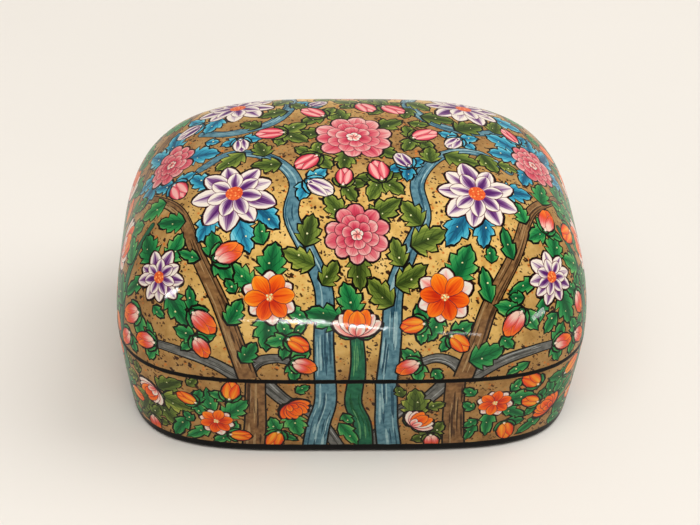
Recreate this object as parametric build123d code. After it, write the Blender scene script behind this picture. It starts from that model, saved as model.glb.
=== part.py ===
from build123d import *
import math
import os

# A lacquered papier-mache box: a tray with a lift-off domed lid. Millimetres, +Z up,
# the origin under the middle of the foot, the long side along X and the front towards -Y.

# The outside of the closed box.
WIDTH = 150.0               # left to right, at the join
DEPTH = 112.0               # front to back, at the join
BASE_HEIGHT = 31.6          # from the table to the join
LID_HEIGHT = 52.4           # from the join to the crown
FOOT_DRAW_IN = 3.4          # how far the tray's wall leans in, each side, down to the foot
FOOT_RADIUS = 1.8           # rounding of the outside edge at the foot
WALL_LEAN_CURVE = 1.28      # 1 is a straight leaning wall, more bows it outwards
JOIN_SQUARENESS = 4.1       # plan outline at the join: 2 is an ellipse, more is squarer
CROWN_SQUARENESS = 2.0      # plan outline near the crown
SIDE_FULLNESS = 3.37        # how long the lid's wall stays upright
TOP_FULLNESS = 2.23         # how flat the lid's crown stays
DEPTH_DRAW = 1.23           # how much sooner the dome closes front to back than side to side

# The layers, from outside to inside.
PAINT_THICKNESS = 0.6       # gesso, gold ground, painting and lacquer
PULP_THICKNESS = 3.0        # moulded paper wall
INNER_COAT = 0.4            # black paint on the inside
INNER_RADIUS = 5.0          # rounding between the tray's floor and its wall
BAND_HEIGHT = 3.4           # black band round the foot
RIM_HEIGHT = 0.55           # black lacquered edge on each side of the join

# The strip of card inside the tray that holds the lid in place.
COLLAR_THICKNESS = 1.2
COLLAR_BELOW = 11.0         # how far it runs down inside the tray
COLLAR_ABOVE = 5.5          # how far it stands above the join
COLLAR_GLUE = 0.05          # glue line between the collar and the tray
COLLAR_CLEARANCE = 0.35     # between the collar and the lid
COLLAR_LEAD_IN = 0.4        # how far its top edge leans in to guide the lid

OUTLINE_POINTS = 32
DOME_SECTIONS = 8
WALL_SECTIONS = 4

PULP_OUT = PAINT_THICKNESS
PULP_IN = PULP_OUT + PULP_THICKNESS
INSIDE = PULP_IN + INNER_COAT
PAINT_TOP = BASE_HEIGHT - RIM_HEIGHT
PAINT_BOTTOM = BASE_HEIGHT + RIM_HEIGHT


def outline(half_width, half_depth, squareness, z):
    """A rounded, bowed rectangle at one height, from the superellipse formula."""
    points = []
    for k in range(OUTLINE_POINTS):
        angle = 2 * math.pi * k / OUTLINE_POINTS
        along = math.cos(angle)
        across = math.sin(angle)
        reach = abs(along / half_width) ** squareness + abs(across / half_depth) ** squareness
        radius = reach ** (-1 / squareness)
        points.append((radius * along, radius * across, z))
    return Face(Wire(Spline(*points, periodic=True)))


def lean(z):
    """How far the tray's wall stands in from the join's outline at one height."""
    down = max(0.0, 1 - z / BASE_HEIGHT)
    return FOOT_DRAW_IN * down ** WALL_LEAN_CURVE


def wall_section(inset, z):
    offset = inset + lean(z)
    return outline(WIDTH / 2 - offset, DEPTH / 2 - offset, JOIN_SQUARENESS, z)


def base_form(inset, edge_radius):
    """The solid block that the tray would be, drawn in evenly by inset."""
    heights = [inset + (BASE_HEIGHT - inset) * k / WALL_SECTIONS for k in range(WALL_SECTIONS + 1)]
    block = loft([wall_section(inset, z) for z in heights])
    foot_edge = block.faces().sort_by(Axis.Z)[0].edges()
    return fillet(foot_edge, edge_radius)


def lid_form(inset):
    """The solid dome that the lid would be, drawn in evenly by inset."""
    sections = []
    for k in range(DOME_SECTIONS):
        turn = math.pi / 2 * k / DOME_SECTIONS
        spread = math.cos(turn) ** (2 / SIDE_FULLNESS)
        squareness = CROWN_SQUARENESS + (JOIN_SQUARENESS - CROWN_SQUARENESS) * spread
        z = BASE_HEIGHT + (LID_HEIGHT - inset) * math.sin(turn) ** (2 / TOP_FULLNESS)
        half_width = (WIDTH / 2 - inset) * spread
        half_depth = (DEPTH / 2 - inset) * spread ** DEPTH_DRAW
        sections.append(outline(half_width, half_depth, squareness, z))
    crown = Vertex(0, 0, BASE_HEIGHT + LID_HEIGHT - inset)
    return loft(sections + [crown])


def layer(form, low, high):
    """The part of a form between two heights."""
    room = 2 * max(WIDTH, DEPTH)
    slab = Box(room, room, high - low, align=(Align.CENTER, Align.CENTER, Align.MIN))
    return form & Pos(0, 0, low) * slab


def base_pieces():
    outside = base_form(0, FOOT_RADIUS)
    pulp_out = base_form(PULP_OUT, FOOT_RADIUS - PULP_OUT)
    pulp_in = base_form(PULP_IN, INNER_RADIUS)
    inside = base_form(INSIDE, INNER_RADIUS - INNER_COAT)
    skin = outside - pulp_out
    return {
        "base_foot_coat": layer(skin, 0, BAND_HEIGHT),
        "base_painted_coat": layer(skin, BAND_HEIGHT, PAINT_TOP),
        "base_shell": layer(pulp_out - pulp_in, 0, PAINT_TOP),
        "base_inner_coat": layer(pulp_in - inside, 0, PAINT_TOP),
        "base_rim": layer(outside - inside, PAINT_TOP, BASE_HEIGHT),
    }


def lid_pieces():
    outside = lid_form(0)
    pulp_out = lid_form(PULP_OUT)
    pulp_in = lid_form(PULP_IN)
    inside = lid_form(INSIDE)
    top = BASE_HEIGHT + LID_HEIGHT
    return {
        "lid_painted_coat": layer(outside - pulp_out, PAINT_BOTTOM, top),
        "lid_shell": layer(pulp_out - pulp_in, PAINT_BOTTOM, top),
        "lid_inner_coat": layer(pulp_in - inside, PAINT_BOTTOM, top),
        "lid_rim": layer(outside - inside, BASE_HEIGHT, PAINT_BOTTOM),
    }


def collar():
    """A strip of card glued inside the tray, standing up into the lid."""
    bottom = BASE_HEIGHT - COLLAR_BELOW
    step = BASE_HEIGHT - COLLAR_CLEARANCE
    top = BASE_HEIGHT + COLLAR_ABOVE
    glued = INSIDE + COLLAR_GLUE
    in_lid = INSIDE + COLLAR_CLEARANCE
    bore = glued + lean(bottom) + COLLAR_THICKNESS
    glued_part = loft([wall_section(glued, bottom), wall_section(glued, step)])
    free_part = loft([wall_section(in_lid, step), wall_section(in_lid + COLLAR_LEAD_IN, top)])
    opening = loft([wall_section(bore - lean(bottom), bottom), wall_section(bore, top)])
    return (glued_part + free_part) - opening


os.makedirs("parts", exist_ok=True)
pieces = {**base_pieces(), **lid_pieces(), "base_collar": collar()}
for name, shape in pieces.items():
    export_step(shape, f"parts/{name}.step")
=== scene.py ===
import math
import random
from collections import namedtuple
from functools import partial

import bpy
import numpy as np
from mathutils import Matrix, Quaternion, Vector
from mathutils.geometry import delaunay_2d_cdt


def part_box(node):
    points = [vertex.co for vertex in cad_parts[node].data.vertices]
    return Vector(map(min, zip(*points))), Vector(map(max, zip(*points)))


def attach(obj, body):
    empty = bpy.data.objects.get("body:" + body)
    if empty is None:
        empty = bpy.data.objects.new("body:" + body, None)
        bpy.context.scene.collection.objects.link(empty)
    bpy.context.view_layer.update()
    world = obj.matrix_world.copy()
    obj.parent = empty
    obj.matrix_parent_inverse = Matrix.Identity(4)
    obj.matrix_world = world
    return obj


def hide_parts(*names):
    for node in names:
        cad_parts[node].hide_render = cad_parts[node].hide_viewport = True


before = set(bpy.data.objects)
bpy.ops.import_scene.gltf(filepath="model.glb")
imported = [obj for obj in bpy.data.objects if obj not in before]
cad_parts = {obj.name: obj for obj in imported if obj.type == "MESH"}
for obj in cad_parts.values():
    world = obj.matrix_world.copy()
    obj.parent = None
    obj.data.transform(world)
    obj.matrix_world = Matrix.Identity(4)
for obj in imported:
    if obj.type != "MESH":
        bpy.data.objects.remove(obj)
bpy.ops.object.select_all(action="DESELECT")
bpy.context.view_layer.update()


# ------------------------------------------------------------------ moulded paper shells
# The tray and the lid are layers of paper pulp pressed over a wooden mould, cut free and glued
# up again. The raw pulp is grey-brown and fibrous, and the coats hide all of it.

FIBRE_SIZE = 0.0012


def tone(red, green, blue):
    return red, green, blue, 1


PULP_COLOURS = (tone(0.20, 0.15, 0.10), tone(0.34, 0.28, 0.20))


def new_material(name):
    material = bpy.data.materials.new(name)
    material.use_nodes = True
    return material


def add_node(material, kind, links=None, **settings):
    """Adds a node. links gives each input socket a value or another node's output."""
    node = material.node_tree.nodes.new(kind)
    for setting, value in settings.items():
        setattr(node, setting, value)
    for socket, value in (links or {}).items():
        if isinstance(value, bpy.types.NodeSocket):
            material.node_tree.links.new(value, node.inputs[socket])
        else:
            node.inputs[socket].default_value = value
    return node


def add_noise(material, place, feature_size, detail=2.0, roughness=0.5):
    """Noise over a place vector, with features of about the given size in metres."""
    return add_node(material, "ShaderNodeTexNoise", {
        "Vector": place, "Scale": 1 / feature_size, "Detail": detail, "Roughness": roughness,
    }).outputs["Fac"]


def add_ramp(material, factor, stops):
    """A colour ramp through (position, colour) stops."""
    ramp = add_node(material, "ShaderNodeValToRGB", {"Fac": factor})
    elements = ramp.color_ramp.elements
    while len(elements) < len(stops):
        elements.new(0.5)
    for element, (position, colour) in zip(elements, stops):
        element.position = position
        element.color = colour
    return ramp.outputs["Color"]


def object_place(material):
    return add_node(material, "ShaderNodeTexCoord").outputs["Object"]


def shader_of(material):
    return material.node_tree.nodes["Principled BSDF"]


def connect(material, socket, target):
    material.node_tree.links.new(socket, shader_of(material).inputs[target])


def add_bump(material, height, depth, strength=0.5, target="Normal"):
    """Relief on a material, depth metres where height is 1."""
    bump = add_node(material, "ShaderNodeBump",
                    {"Height": height, "Distance": depth, "Strength": strength})
    connect(material, bump.outputs["Normal"], target)


def finish_paint(material, colour, height, depth, strength=0.5):
    """Gives a material its colour and the relief that goes with it."""
    connect(material, colour, "Base Color")
    add_bump(material, height, depth, strength)
    return material


def give_material(material, *nodes):
    """Gives carried-over CAD nodes one material."""
    for node in nodes:
        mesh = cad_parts[node].data
        mesh.materials.clear()
        mesh.materials.append(material)


pulp = new_material("paper_pulp")
fibres = add_noise(pulp, object_place(pulp), FIBRE_SIZE, detail=6)
pulp_colour = add_ramp(pulp, fibres, [(0.3, PULP_COLOURS[0]), (0.7, PULP_COLOURS[1])])
finish_paint(pulp, pulp_colour, fibres, 0.0003)
shader_of(pulp).inputs["Roughness"].default_value = 0.9
give_material(pulp, "base_shell", "lid_shell")


# ------------------------------------------------------------------ inside: black paint and collar
# The hollow of both halves is brushed with black paint, two coats, left satin. The collar is a
# strip of card bent round the inside of the tray, glued in and painted the same black.

BRUSH_WIDTH = 0.0025
INSIDE_BLACK = (tone(0.010, 0.009, 0.008), tone(0.026, 0.023, 0.020))


def black_paint(name, stretch, roughness):
    """Satin black with the faint streaks of a flat brush, drawn out by stretch."""
    material = new_material(name)
    place = add_node(material, "ShaderNodeMapping",
                     {"Vector": object_place(material), "Scale": stretch}).outputs["Vector"]
    streaks = add_noise(material, place, BRUSH_WIDTH, detail=4)
    colour = add_ramp(material, streaks, [(0.3, INSIDE_BLACK[0]), (0.75, INSIDE_BLACK[1])])
    shader_of(material).inputs["Roughness"].default_value = roughness
    return finish_paint(material, colour, streaks, 0.0001, 0.35)


give_material(black_paint("inner_black", (0.15, 1.0, 1.0), 0.42), "base_inner_coat", "lid_inner_coat")
give_material(black_paint("collar_black", (0.15, 0.15, 2.0), 0.36), "base_collar")


# ------------------------------------------------------------------ black lacquered edges and foot
# The two edges that meet at the join, and the underside with its band round the foot, are
# painted black before the flowers are, and lacquered with them.

EDGE_BLACK = (tone(0.0010, 0.0008, 0.0006), tone(0.0030, 0.0025, 0.0020))
EDGE_WAVE = 0.006
LACQUER_WAVE = 0.0045       # how far apart the varnish stands a little higher
BRUSH_GRAIN = 0.0010        # fine ridges of the paint that show through it
LACQUER_RELIEF = 0.00007


def calculate(material, operation, *values):
    links = {index: value for index, value in enumerate(values)}
    return add_node(material, "ShaderNodeMath", links, operation=operation).outputs["Value"]


def lacquer(material, weight=0.34):
    """Many thin coats of clear varnish, rubbed down and polished, but never quite flat."""
    for socket, value in (("Roughness", 0.4), ("Specular IOR Level", 0.05), ("Coat Weight", weight),
                          ("Coat Roughness", 0.04), ("Coat IOR", 1.40)):
        shader_of(material).inputs[socket].default_value = value
    place = object_place(material)
    waves = add_noise(material, place, LACQUER_WAVE)
    grain = add_noise(material, place, BRUSH_GRAIN)
    height = calculate(material, "MULTIPLY_ADD", grain, 0.28, waves)
    add_bump(material, height, LACQUER_RELIEF, 0.6, "Coat Normal")


edge_black = new_material("black_lacquer")
edge_waves = add_noise(edge_black, object_place(edge_black), EDGE_WAVE, detail=3)
edge_colour = add_ramp(edge_black, edge_waves, [(0.3, EDGE_BLACK[0]), (0.8, EDGE_BLACK[1])])
finish_paint(edge_black, edge_colour, edge_waves, 0.00015, 0.2)
lacquer(edge_black, 0.15)
give_material(edge_black, "base_foot_coat")

join_black = edge_black.copy()
join_black.name = "join_black"
shader_of(join_black).inputs["Coat Weight"].default_value = 0.03
give_material(join_black, "base_rim", "lid_rim")


# ------------------------------------------------------------------ painted coat of the lid
# Gesso over the pulp, a gold ground flecked with brown, then flowers and leaves in opaque
# colour, each drawn round in black with a fine brush, all under the polished lacquer. The
# painting is laid out flat in millimetres, with the crown at the middle, and wrapped on the dome.

MM = 0.001
HALF_WIDTH = 75.0           # at the join
HALF_DEPTH = 56.0
LID_HEIGHT = 52.4
JOIN_SQUARENESS = 4.1       # superellipse exponent of the plan at the join
CROWN_SQUARENESS = 2.0
SIDE_FULLNESS = 3.37
TOP_FULLNESS = 2.23
DEPTH_DRAW = 1.23
COAT_THICKNESS = 0.6
JOIN_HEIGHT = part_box("lid_rim")[0].z / MM
LID_COAT_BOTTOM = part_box("lid_painted_coat")[0].z / MM


def plan_radius(angle, half_width, half_depth, squareness):
    """How far the plan's outline lies from the middle in one direction."""
    reach = np.abs(np.cos(angle) / half_width) ** squareness
    reach += np.abs(np.sin(angle) / half_depth) ** squareness
    return reach ** (-1 / squareness)


def dome(angle, turn):
    """A point on the lid: angle goes round the plan, turn from 0 at the join to pi/2 on top."""
    spread = np.maximum(np.cos(turn), 1e-9) ** (2 / SIDE_FULLNESS)
    squareness = CROWN_SQUARENESS + (JOIN_SQUARENESS - CROWN_SQUARENESS) * spread
    radius = plan_radius(angle, HALF_WIDTH * spread, HALF_DEPTH * spread ** DEPTH_DRAW, squareness)
    height = JOIN_HEIGHT + LID_HEIGHT * np.sin(turn) ** (2 / TOP_FULLNESS)
    point = np.broadcast_arrays(radius * np.cos(angle), radius * np.sin(angle), height)
    return np.stack(point, axis=-1)


# How far it is over the surface from the crown, by angle and by step down the dome.
ANGLES = np.linspace(0, 2 * math.pi, 361)
STEPS = np.linspace(0, 1, 241)
STEP_CURVE = 1.7            # the steps are finest near the crown
turns_down = math.pi / 2 * (1 - STEPS ** STEP_CURVE)
grid = dome(ANGLES[:, None], turns_down[None, :])
hops = np.linalg.norm(np.diff(grid, axis=1), axis=2)
reaches = np.concatenate([np.zeros((len(ANGLES), 1)), np.cumsum(hops, axis=1)], axis=1)
SHARES = np.linspace(0, 1, 401)
steps_at = np.array([np.interp(SHARES, row / row[-1], STEPS) for row in reaches])
full_reach = reaches[:, -1]


def lid_skin(points):
    """Wraps points of the flat layout, in mm from the crown, on the dome."""
    points = np.atleast_2d(points)
    angle = np.arctan2(points[:, 1], points[:, 0]) % (2 * math.pi)
    share = np.hypot(points[:, 0], points[:, 1]) / np.interp(angle, ANGLES, full_reach)
    share = np.clip(share, 0, 1)
    row = angle / (2 * math.pi) * (len(ANGLES) - 1)
    column = share * (len(SHARES) - 1)
    r = np.minimum(row.astype(int), len(ANGLES) - 2)
    c = np.minimum(column.astype(int), len(SHARES) - 2)
    fr, fc = row - r, column - c
    step = (steps_at[r, c] * (1 - fr) + steps_at[r + 1, c] * fr) * (1 - fc)
    step += (steps_at[r, c + 1] * (1 - fr) + steps_at[r + 1, c + 1] * fr) * fc
    return dome(angle, math.pi / 2 * (1 - step ** STEP_CURVE))


def lid_edge():
    """The flat layout's outline, where the coat ends above the black edge."""
    rise = (LID_COAT_BOTTOM - JOIN_HEIGHT) / LID_HEIGHT
    last_turn = math.asin(rise ** (TOP_FULLNESS / 2))
    last_step = (1 - last_turn * 2 / math.pi) ** (1 / STEP_CURVE)
    reach = np.array([np.interp(last_step, STEPS, row) for row in reaches[:-1]])
    return np.stack([reach * np.cos(ANGLES[:-1]), reach * np.sin(ANGLES[:-1])], axis=1)


# The painter's colours. Each brush mark is shaded along and across its own shape.

def brush_colour(name, widest, roundness, weights, stops, streaks, veins=0.0):
    """Paint whose colour runs over the mark: weights give how far the distance to the side, the
    distance from the root and the streaks of the brush each move it along the stops. Leaves have
    that many pairs of fine dark veins as well."""
    side_weight, root_weight, streak_weight = weights
    material = new_material(name)
    calc = partial(calculate, material)
    place = add_node(material, "ShaderNodeUVMap", uv_map="brush").outputs["UV"]
    split = add_node(material, "ShaderNodeSeparateXYZ", {"Vector": place})
    along = calc("MAXIMUM", split.outputs["X"], 0.001)
    # How wide the mark's own outline is there, which petal_line and leaf_line draw as well.
    width = calc("SINE", calc("MULTIPLY", calc("POWER", along, widest), math.pi))
    width = calc("POWER", calc("MAXIMUM", width, 0.02), roundness)
    across = calc("DIVIDE", split.outputs["Y"], width)
    side = calc("ABSOLUTE", across)
    seed = add_node(material, "ShaderNodeAttribute", attribute_name="seed").outputs["Fac"]
    strand = add_node(material, "ShaderNodeCombineXYZ", {
        "X": calc("MULTIPLY", across, streaks),
        "Y": calc("MULTIPLY", along, 1.3),
        "Z": calc("MULTIPLY", seed, 60.0)}).outputs["Vector"]
    streak = add_node(material, "ShaderNodeTexNoise",
                      {"Vector": strand, "Scale": 1.0, "Detail": 3.0}).outputs["Fac"]
    factor = calc("MULTIPLY", side, side_weight)
    factor = calc("MULTIPLY_ADD", along, root_weight, factor)
    centred = calc("SUBTRACT", streak, 0.5)
    factor = calc("MULTIPLY_ADD", centred, streak_weight, factor)
    if veins:
        slant = calc("MULTIPLY", along, veins)
        slant = calc("MULTIPLY_ADD", side, -1.5, slant)
        vein = calc("LESS_THAN", calc("FRACT", slant), 0.17)
        factor = calc("MULTIPLY_ADD", vein, -0.20, factor)
    tint = calc("MULTIPLY_ADD", seed, 0.26, -0.13)
    factor = calc("ADD", factor, tint)
    lacquer(material)
    return finish_paint(material, add_ramp(material, factor, stops), streak, 0.00006, 0.25)


def flat_colour(name, dark, light, feature_size=0.0012):
    """A plain opaque colour that the brush has left a little uneven."""
    material = new_material(name)
    uneven = add_noise(material, object_place(material), feature_size, detail=3)
    colour = add_ramp(material, uneven, [(0.3, dark), (0.7, light)])
    lacquer(material)
    return finish_paint(material, colour, uneven, 0.00005, 0.2)


SPECK_SHARPNESS = 14.0


def specks(material, place, spacing, largest, warp, rarity=1.8):
    """A mask of small ragged specks, about one to each cell of the spacing, in mixed sizes."""
    calc = partial(calculate, material)
    shift = add_noise(material, place, spacing * 0.8, detail=1)
    aside = add_node(material, "ShaderNodeCombineXYZ", {
        "X": calc("MULTIPLY", shift, warp), "Z": calc("MULTIPLY", shift, -warp)}).outputs["Vector"]
    shifted = add_node(material, "ShaderNodeVectorMath", {0: place, 1: aside},
                       operation="ADD").outputs["Vector"]
    cells = add_node(material, "ShaderNodeTexVoronoi", {"Vector": shifted, "Scale": 1 / spacing})
    lot = add_node(material, "ShaderNodeSeparateColor", {"Color": cells.outputs["Color"]}).outputs[0]
    reach = calc("MULTIPLY", calc("POWER", lot, rarity), largest)
    inside = calc("SUBTRACT", reach, cells.outputs["Distance"])
    return calc("MULTIPLY", inside, SPECK_SHARPNESS)


def mix_colour(material, share, under, over):
    """One colour over another, as far as share says."""
    share = add_node(material, "ShaderNodeClamp", {"Value": share}).outputs["Result"]
    return add_node(material, "ShaderNodeMix", {0: share, 6: under, 7: over},
                    data_type="RGBA").outputs[2]


def painted_light_share(material, place):
    """How far the ground gets painted light: on the lid's long faces, clear of its ends, crown and
    join, never on the tray.
    """
    part = add_node(material, "ShaderNodeSeparateXYZ", {"Vector": place})
    shares = []
    for axis, low, high in (("Y", 0.010, 0.032), ("X", 0.062, 0.040), ("Z", 0.034, 0.048)):
        from_middle = calculate(material, "ABSOLUTE", part.outputs[axis])
        shares.append(add_node(material, "ShaderNodeMapRange", {
            "Value": from_middle, "From Min": low, "From Max": high}).outputs["Result"])
    both = calculate(material, "MULTIPLY", shares[0], shares[1])
    return calculate(material, "MULTIPLY", both, shares[2])


def gold_ground():
    """Ochre gold in painted light and painted shade, mottled, with orange grains and small brown
    flecks flicked from the brush.
    """
    material = new_material("gold_ground")
    place = object_place(material)
    mottle = add_noise(material, place, 0.005, detail=5, roughness=0.65)
    # Two copies of the ground: one in painted shade, and one, bright, in painted light. They are mixed
    # by where the light falls.
    painted_shade_gold = add_ramp(material, mottle, [
        (0.32, tone(0.25, 0.122, 0.034)), (0.50, tone(0.37, 0.198, 0.060)),
        (0.70, tone(0.47, 0.285, 0.098))])
    bright = add_ramp(material, mottle, [
        (0.32, tone(0.56, 0.310, 0.070)), (0.50, tone(0.74, 0.465, 0.130)),
        (0.70, tone(0.86, 0.590, 0.210))])
    gold = mix_colour(material, painted_light_share(material, place), painted_shade_gold, bright)
    grains = specks(material, place, 0.0013, 0.52, 0.0008)
    grained = mix_colour(material, calculate(material, "MULTIPLY", grains, 0.30), gold,
                         tone(0.60, 0.17, 0.025))
    fine = mix_colour(material, specks(material, place, 0.0012, 0.44, 0.0020, 1.2), grained,
                      tone(0.085, 0.034, 0.010))
    flecks = specks(material, place, 0.0018, 0.46, 0.0030)
    flecked = mix_colour(material, flecks, fine, tone(0.040, 0.014, 0.006))
    lacquer(material)
    return finish_paint(material, flecked, mottle, 0.0001, 0.2)


PURPLE = (1.15, 0.62)       # where a petal is widest, and how round its ends are
PINK = (1.55, 0.50)
ORANGE = (1.25, 0.60)
LEAF = (0.72, 0.80)
BUD = (0.90, 0.62)
CREAM = tone(0.84, 0.755, 0.65)

paints = [
    gold_ground(),
    flat_colour("black_line", tone(0.002, 0.002, 0.001), tone(0.008, 0.006, 0.004)),
    brush_colour("green_leaf", *LEAF, (0.75, 0.10, 0.85), [
        (0.05, tone(0.003, 0.080, 0.024)), (0.35, tone(0.010, 0.20, 0.050)),
        (0.65, tone(0.035, 0.30, 0.075)), (0.98, tone(0.20, 0.48, 0.12))], 9.0, 4.0),
    brush_colour("olive_leaf", *LEAF, (0.75, 0.10, 1.10), [
        (0.05, tone(0.026, 0.045, 0.006)), (0.38, tone(0.085, 0.135, 0.018)),
        (0.65, tone(0.17, 0.24, 0.032)), (0.98, tone(0.40, 0.42, 0.070))], 9.0, 4.0),
    brush_colour("blue_leaf", *LEAF, (0.75, 0.10, 0.85), [
        (0.05, tone(0.005, 0.085, 0.16)), (0.38, tone(0.022, 0.265, 0.41)),
        (0.65, tone(0.060, 0.41, 0.53)), (0.98, tone(0.28, 0.63, 0.68))], 9.0, 4.0),
    brush_colour("purple_petal", *PURPLE, (0.72, 0.52, 0.75), [
        (0.26, tone(0.080, 0.012, 0.12)), (0.46, tone(0.20, 0.07, 0.22)),
        (0.64, tone(0.58, 0.45, 0.51)), (0.76, CREAM)], 6.0),
    brush_colour("pink_petal", *PINK, (0.30, 0.75, 0.75), [
        (0.20, tone(0.40, 0.014, 0.040)), (0.45, tone(0.61, 0.056, 0.10)),
        (0.70, tone(0.70, 0.175, 0.19)), (0.98, tone(0.80, 0.48, 0.43))], 6.0),
    brush_colour("orange_petal", *ORANGE, (0.25, 0.55, 0.80), [
        (0.15, tone(0.58, 0.025, 0.004)), (0.40, tone(0.86, 0.095, 0.006)),
        (0.66, tone(0.93, 0.21, 0.010)), (0.95, tone(0.96, 0.42, 0.035))], 5.0),
    brush_colour("blush_petal", *ORANGE, (0.45, 0.70, 0.60), [
        (0.25, tone(0.78, 0.13, 0.12)), (0.55, tone(0.90, 0.42, 0.35)),
        (0.80, CREAM)], 6.0),
    brush_colour("yellow_bud", *BUD, (0.60, 0.45, 0.85), [
        (0.12, tone(0.90, 0.38, 0.028)), (0.45, tone(0.88, 0.20, 0.012)),
        (0.85, tone(0.80, 0.055, 0.006))], 5.0),
    brush_colour("red_bud", *BUD, (0.80, -0.10, 0.60), [
        (0.10, tone(0.86, 0.42, 0.38)), (0.40, tone(0.76, 0.10, 0.14)),
        (0.80, tone(0.54, 0.020, 0.042))], 5.0),
    brush_colour("coral_bud", *BUD, (0.15, 0.85, 0.60), [
        (0.12, tone(0.86, 0.58, 0.46)), (0.40, tone(0.76, 0.13, 0.12)),
        (0.62, tone(0.74, 0.070, 0.015)), (0.92, tone(0.92, 0.22, 0.020))], 5.0),
    flat_colour("grey_stem", tone(0.085, 0.085, 0.078), tone(0.19, 0.19, 0.17), 0.0016),
    flat_colour("brown_dark", tone(0.035, 0.016, 0.007), tone(0.075, 0.036, 0.015)),
    flat_colour("brown_light", tone(0.30, 0.180, 0.075), tone(0.42, 0.27, 0.12)),
    flat_colour("green_light", tone(0.05, 0.22, 0.09), tone(0.12, 0.34, 0.13)),
    flat_colour("blue_stem", tone(0.040, 0.125, 0.175), tone(0.14, 0.295, 0.345), 0.0016),
    flat_colour("green_stem", tone(0.004, 0.075, 0.040), tone(0.02, 0.17, 0.075), 0.0016),
    flat_colour("brown_stem", tone(0.125, 0.056, 0.020), tone(0.31, 0.160, 0.058), 0.0016),
    flat_colour("stem_light", tone(0.20, 0.37, 0.41), tone(0.36, 0.52, 0.53)),
    flat_colour("stem_dark", tone(0.010, 0.045, 0.070), tone(0.030, 0.10, 0.15)),
    flat_colour("green_dark", tone(0.002, 0.045, 0.016), tone(0.006, 0.11, 0.035)),
    flat_colour("olive_dark", tone(0.018, 0.045, 0.006), tone(0.045, 0.09, 0.012)),
    flat_colour("blue_dark", tone(0.004, 0.050, 0.13), tone(0.010, 0.11, 0.26)),
    flat_colour("dot_yellow", tone(0.76, 0.74, 0.30), tone(0.88, 0.86, 0.48)),
    flat_colour("stamen_red", tone(0.62, 0.055, 0.012), tone(0.86, 0.16, 0.035), 0.0006),
    flat_colour("stamen_orange", tone(0.90, 0.26, 0.06), tone(0.95, 0.42, 0.13), 0.0006),
    flat_colour("cream", tone(0.84, 0.75, 0.60), CREAM),
    flat_colour("wine_line", tone(0.10, 0.008, 0.020), tone(0.17, 0.015, 0.035)),
    flat_colour("grey_light", tone(0.24, 0.25, 0.24), tone(0.38, 0.39, 0.37)),
    flat_colour("grey_dark", tone(0.028, 0.028, 0.025), tone(0.060, 0.060, 0.054)),
]
PAINT = {material.name: index for index, material in enumerate(paints)}


# How the painting is kept. One brush mark is its outline in the layout and its paint, then the
# spot, the size and the bend that the paint is shaded by.
Mark = namedtuple("Mark", "outline paint origin matrix length half bend seed")
NO_SIZE = 1e9               # for a mark whose paint isn't shaded along or across it
Bloom = namedtuple("Bloom", "centre radius at leafy budding")
STEM_LAYER, LEAF_LAYER, SEPAL_LAYER, PETAL_LAYER, HEART_LAYER, EDGE_LAYER = range(6)
SHARPEST_TURN = 0.3         # keeps an outline from running far out at a point
KEPT_ON_COAT = 0.3          # share of a claimed disc's radius that stays clear of the coat's edge
PLACE_STEP = 0.5            # mm over which the layout's stretch is measured


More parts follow.
